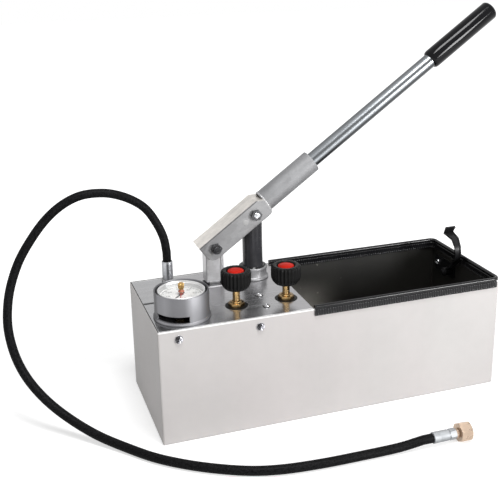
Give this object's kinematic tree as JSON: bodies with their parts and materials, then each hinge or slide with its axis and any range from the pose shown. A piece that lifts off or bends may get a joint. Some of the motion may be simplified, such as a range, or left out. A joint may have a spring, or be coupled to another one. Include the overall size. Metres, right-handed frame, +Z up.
{
  "type": "hydrostatic test pump",
  "caption": "Hand-operated hydrostatic test pump: open sheet-metal water tank, lever pump with gauge and two valves, and a hose with a union nut.",
  "frame": {"origin": "middle of the tank's underside, on the surface that the pump stands on", "axes": "+X along the tank from the pump end to the open end, -Y out of the tank's front, +Z up"},
  "size_m": [0.6829, 0.2931, 0.4999],
  "materials": {
    "sheet_steel": "bright galvanised sheet",
    "trim_rubber": "fine ribbed",
    "cast_body": "as cast",
    "plain_steel": "zinc plated",
    "brass": "turned",
    "chrome": "polished",
    "seal_rubber": "smooth",
    "black_steel": "blackened",
    "galvanised": "galvanised",
    "grip_rubber": "satin",
    "knob_plastic": "satin",
    "cap_plastic": "smooth",
    "dial_face": "matt white",
    "bezel_metal": "bright",
    "gauge_glass": "clear",
    "hose_rubber": "smooth, slightly ribbed",
    "pale_brass": "satin"
  },
  "bodies": {
    "tank_body": {"tank": "sheet_steel", "rim_trim": "trim_rubber", "top_cover": "sheet_steel", "pump_body": "cast_body", "post_pin": "plain_steel", "cylinder_barrel": "plain_steel", "foot_valve": "brass", "strainer": "plain_steel", "gland_nut": "chrome", "piston_wiper": "seal_rubber", "piston_lip_seal": "seal_rubber", "release_valve_bonnet": "brass", "pressure_valve_bonnet": "brass", "gauge_guard": "sheet_steel", "gauge_case": "black_steel", "gauge_socket": "brass", "gauge_dial": "dial_face", "gauge_bezel": "bezel_metal", "gauge_glass": "gauge_glass", "hose_fitting": "plain_steel", "hose_ferrule": "plain_steel", "hose": "hose_rubber", "hose_end_ferrule": "chrome", "hose_tail": "brass", "hook_bracket": "black_steel", "hook_pin": "plain_steel"},
    "post": {"lever_post": "galvanised", "pivot_bolt": "black_steel", "pivot_nut": "black_steel"},
    "lever": {"lever_channel": "galvanised", "handle_socket": "galvanised", "handle_tube": "chrome", "handle_grip": "grip_rubber", "piston_bolt": "plain_steel", "piston_nut": "black_steel"},
    "plunger": {"piston": "black_steel", "piston_head": "plain_steel"},
    "release_needle": {"release_valve_needle": "plain_steel"},
    "release_spindle": {"release_valve_stem": "brass", "release_valve_knob": "knob_plastic", "release_valve_cap": "cap_plastic"},
    "pressure_needle": {"pressure_valve_needle": "plain_steel"},
    "pressure_spindle": {"pressure_valve_stem": "brass", "pressure_valve_knob": "knob_plastic", "pressure_valve_cap": "cap_plastic"},
    "pointer": {"gauge_pointer": "black_steel"},
    "marker": {"drag_marker": "cap_plastic", "marker_knob": "brass"},
    "suction_valve_ball": {"suction_ball": "plain_steel"},
    "union": {"union_nut": "pale_brass"},
    "hook": {"latch_hook": "black_steel"}
  },
  "joints": [
    {"name": "post_rock", "type": "hinge", "parent": "tank_body", "child": "post", "pos_m": [-0.124, 0.046, 0.13], "axis": [0, -1, 0], "range_deg": [-1.8, 12.1]},
    {"name": "lever_swing", "type": "hinge", "parent": "post", "child": "lever", "pos_m": [-0.124, 0.046, 0.2025], "axis": [0, -1, 0], "range_deg": [-53.03, 7.76]},
    {"name": "piston_slide", "type": "slide", "parent": "tank_body", "child": "plunger", "axis": [0, 0, 1], "range_m": [-0.0467, 0.0069]},
    {"name": "release_lift", "type": "slide", "parent": "tank_body", "child": "release_needle", "axis": [0, 0, 1], "range_m": [-0.00225, 0]},
    {"name": "release_turn", "type": "hinge", "parent": "release_needle", "child": "release_spindle", "pos_m": [-0.1192, -0.04, 0.17], "axis": [0, 0, 1], "range_deg": [-540.1, 0]},
    {"name": "pressure_lift", "type": "slide", "parent": "tank_body", "child": "pressure_needle", "axis": [0, 0, 1], "range_m": [0, 0.00225]},
    {"name": "pressure_turn", "type": "hinge", "parent": "pressure_needle", "child": "pressure_spindle", "pos_m": [-0.0532, -0.04, 0.17], "axis": [0, 0, 1], "range_deg": [0, 540.1]},
    {"name": "pointer_turn", "type": "hinge", "parent": "tank_body", "child": "pointer", "pos_m": [-0.19, -0.045, 0.1776], "axis": [0, 0, -1], "range_deg": [0, 270], "stiffness_Nm_per_rad": 0.0005},
    {"name": "marker_turn", "type": "hinge", "parent": "tank_body", "child": "marker", "pos_m": [-0.19, -0.045, 0.1785], "axis": [0, 0, -1], "continuous": true},
    {"name": "suction_ball_lift", "type": "slide", "parent": "tank_body", "child": "suction_valve_ball", "axis": [0, 0, 1], "range_m": [0, 0.003]},
    {"name": "union_spin", "type": "hinge", "parent": "tank_body", "child": "union", "pos_m": [0.109, -0.1955, 0.011], "axis": [1, 0, 0], "continuous": true},
    {"name": "hook_swing", "type": "hinge", "parent": "tank_body", "child": "hook", "pos_m": [0.2206, 0.03, 0.122], "axis": [-1, 0, 0], "range_deg": [0, 13.5]}
  ],
  "couplings": [
    {"joint": "post_rock", "follows": "lever_swing", "ratio": -0.2267},
    {"joint": "piston_slide", "follows": "lever_swing", "m_per_rad": 0.05024},
    {"joint": "release_turn", "follows": "release_lift", "rad_per_m": 4188.8},
    {"joint": "pressure_turn", "follows": "pressure_lift", "rad_per_m": 4188.8}
  ]
}
